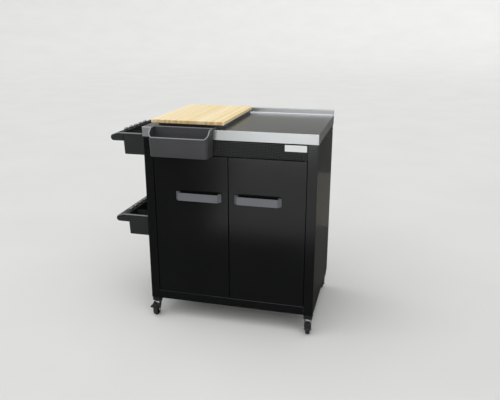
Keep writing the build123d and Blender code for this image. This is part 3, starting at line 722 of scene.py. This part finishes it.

# The rim finish is a paler, glossier grey than the bin: a painted highlight along the rounded rims.
painted_rim_highlight, shader, place = new_finish("rim_finish_painted_highlight", Specular_IOR_Level=0.5)
highlight_mottle = cloud(place, 50)
feed(shader, "Base Color", between(highlight_mottle, tone("75777a"), tone("888a8d")))
feed(shader, "Roughness", 0.3 + highlight_mottle * 0.16)
feed(shader, "Normal", relief(cloud(place, 1300), 0.00006))
bead_inset = 1.2
bead_drop = 2.5
bead_across = 3.1
bead_up = 2.6
bead_steps = 14
bead_turns = [2 * math.pi * step / bead_steps for step in range(bead_steps)]
bead_rings = []
for angle in bead_turns:
    inset = bead_inset - bead_across * math.cos(angle)
    drop = bead_drop - bead_up * math.sin(angle)
    bead_rings.append(bin_ring(inset, drop))
bead = bmesh.new()
skin(bead, bead_rings, endless=True)
arm_half = 1.8
arm_section = [(-1.5, -7), (1.5, -7), (arm_half, -2.4), (1.7, -0.8), (0.8, 0)]
arm_section += [(-0.8, 0), (-1.7, -0.8), (-arm_half, -2.4)]
arm_run = [(-3, 0), (8, 0), (16, 1.5), (22, 4), (26, 7)]
for side, wall in ((-1, bin_low.x + arm_half * mm), (1, bin_high.x - arm_half * mm)):
    arm_rings = []
    for back, flare in arm_run:
        x = wall + side * flare * mm
        y = bin_back + back * mm
        arm_rings.append([(x + a * mm, y, rear_rim + b * mm) for a, b in arm_section])
    skin(bead, arm_rings)
fit("waste_bin_rim", bead, painted_rim_highlight, "waste_bin", "grey_plastic")


# Side bins: two dark grey mouldings with a toothed wing along the outer edge, painted pale on the tooth
# tops and end lips as a highlight. They hook over coated steel rails that are screwed to the left-hand side
# panel.
dark_plastic, shader, place = new_finish("moulded_dark_plastic", Specular_IOR_Level=0.4)
grain = cloud(place, 1300)
feed(shader, "Base Color", between(cloud(place, 12), tone("242526"), tone("2c2d2e")))
feed(shader, "Roughness", 0.34 + grain * 0.16)
feed(shader, "Normal", relief(grain, 0.0001))
coat(dark_plastic, "upper_side_bin", "lower_side_bin")
coat(black_coat, "upper_hook_rail", "lower_hook_rail")
# The tooth tops are pale and glossy: a painted highlight.
painted_tooth_highlight, shader, place = new_finish("tooth_tops_painted_highlight", Specular_IOR_Level=0.5)
highlight_mottle = cloud(place, 120)
feed(shader, "Base Color", between(highlight_mottle, tone("838485"), tone("9fa0a0")))
feed(shader, "Roughness", 0.24 + highlight_mottle * 0.2)
feed(shader, "Normal", relief(cloud(place, 1300), 0.00006))

panel_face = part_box("left_side_panel")[0].x
lip_run = [(6, -2.8, 2.9), (70, -2.8, 2.9), (138, -2.8, 2.9), (148, -2.6, 2.4), (157, -4.6, 1.8)]
lip_run += [(171, -9.6, 1.5), (181, -13.4, 1.3), (186, -17.6, 1.2), (188, -23, 1.0)]
lip_inset = 1.2 * mm
cap_run = [(0.4, -5.2), (-0.25, -4.8), (-0.3, -2.6), (0.6, -0.9), (1.9, 0.2), (3.6, 0.5)]
tooth_count = 5
tooth_pitch = 50
first_tooth = 73
tooth_half = 14 * mm
tooth_height = 9 * mm
tooth_inside = panel_face - 138 * mm
tooth_outside = panel_face - 150 * mm
tooth_radii = (4, 4)


def lip_rings(y, rim_top):
    """The rounded lip on an end wall, as rings along its run out from the panel. Each stop of the run has
    its distance out, its rise from the rim and the lip's radius there."""
    path = [Vector((panel_face - out * mm, y, rim_top + rise * mm)) for out, rise, _ in lip_run]
    crosswise = Vector((0, 1, 0))
    rings = []
    for index, centre in enumerate(path):
        along = (path[min(index + 1, len(path) - 1)] - path[max(index - 1, 0)]).normalized()
        over = along.cross(crosswise)
        radius = lip_run[index][2] * mm
        rings.append([centre + (over * math.sin(a) + crosswise * math.cos(a)) * radius for a in bead_turns])
    return rings


for level in ("upper", "lower"):
    tub_low, tub_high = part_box(level + "_side_bin")
    # Each end wall's rounded lip takes the pale rim finish, a painted highlight along the rim.
    lips = bmesh.new()
    for y in (tub_low.y + lip_inset, tub_high.y - lip_inset):
        skin(lips, lip_rings(y, tub_high.z - tooth_height))
    fit(level + "_bin_lips", lips, painted_rim_highlight, level + "_side_bin", "grey_plastic")
    caps = bmesh.new()
    for tooth in range(tooth_count):
        middle = tub_low.y + (first_tooth + tooth_pitch * tooth) * mm
        tooth_low = Vector((tooth_outside, middle - tooth_half, 0))
        tooth_high = Vector((tooth_inside, middle + tooth_half, 0))
        cap_rings = []
        for inset, rise in cap_run:
            loop = rounded_loop(tooth_low, tooth_high, tooth_radii, inset)
            cap_rings.append([(x, y, tub_high.z + rise * mm) for x, y in loop])
        skin(caps, cap_rings)
    fit(level + "_tooth_caps", caps, painted_tooth_highlight, level + "_side_bin", "grey_plastic")

rail_low, rail_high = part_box("hook_rail_screws")
rail_sheet = 1.5 * mm
rail_face = panel_face - rail_sheet
screw_columns = 3
edge_to_screw = 3.5 * mm
screw_gap = (rail_high.y - rail_low.y - 2 * edge_to_screw) / (screw_columns - 1)
heads = bmesh.new()
for z in (rail_low.z + edge_to_screw, rail_high.z - edge_to_screw):
    for column in range(screw_columns):
        y = rail_low.y + edge_to_screw + column * screw_gap
        screw_head(heads, (rail_face, y, z), (-1, 0, 0), radius=3.6, height=2.2)
fit("rail_screw_heads", heads, zinc, "cabinet", "zinc_steel", "hook_rail_screws")
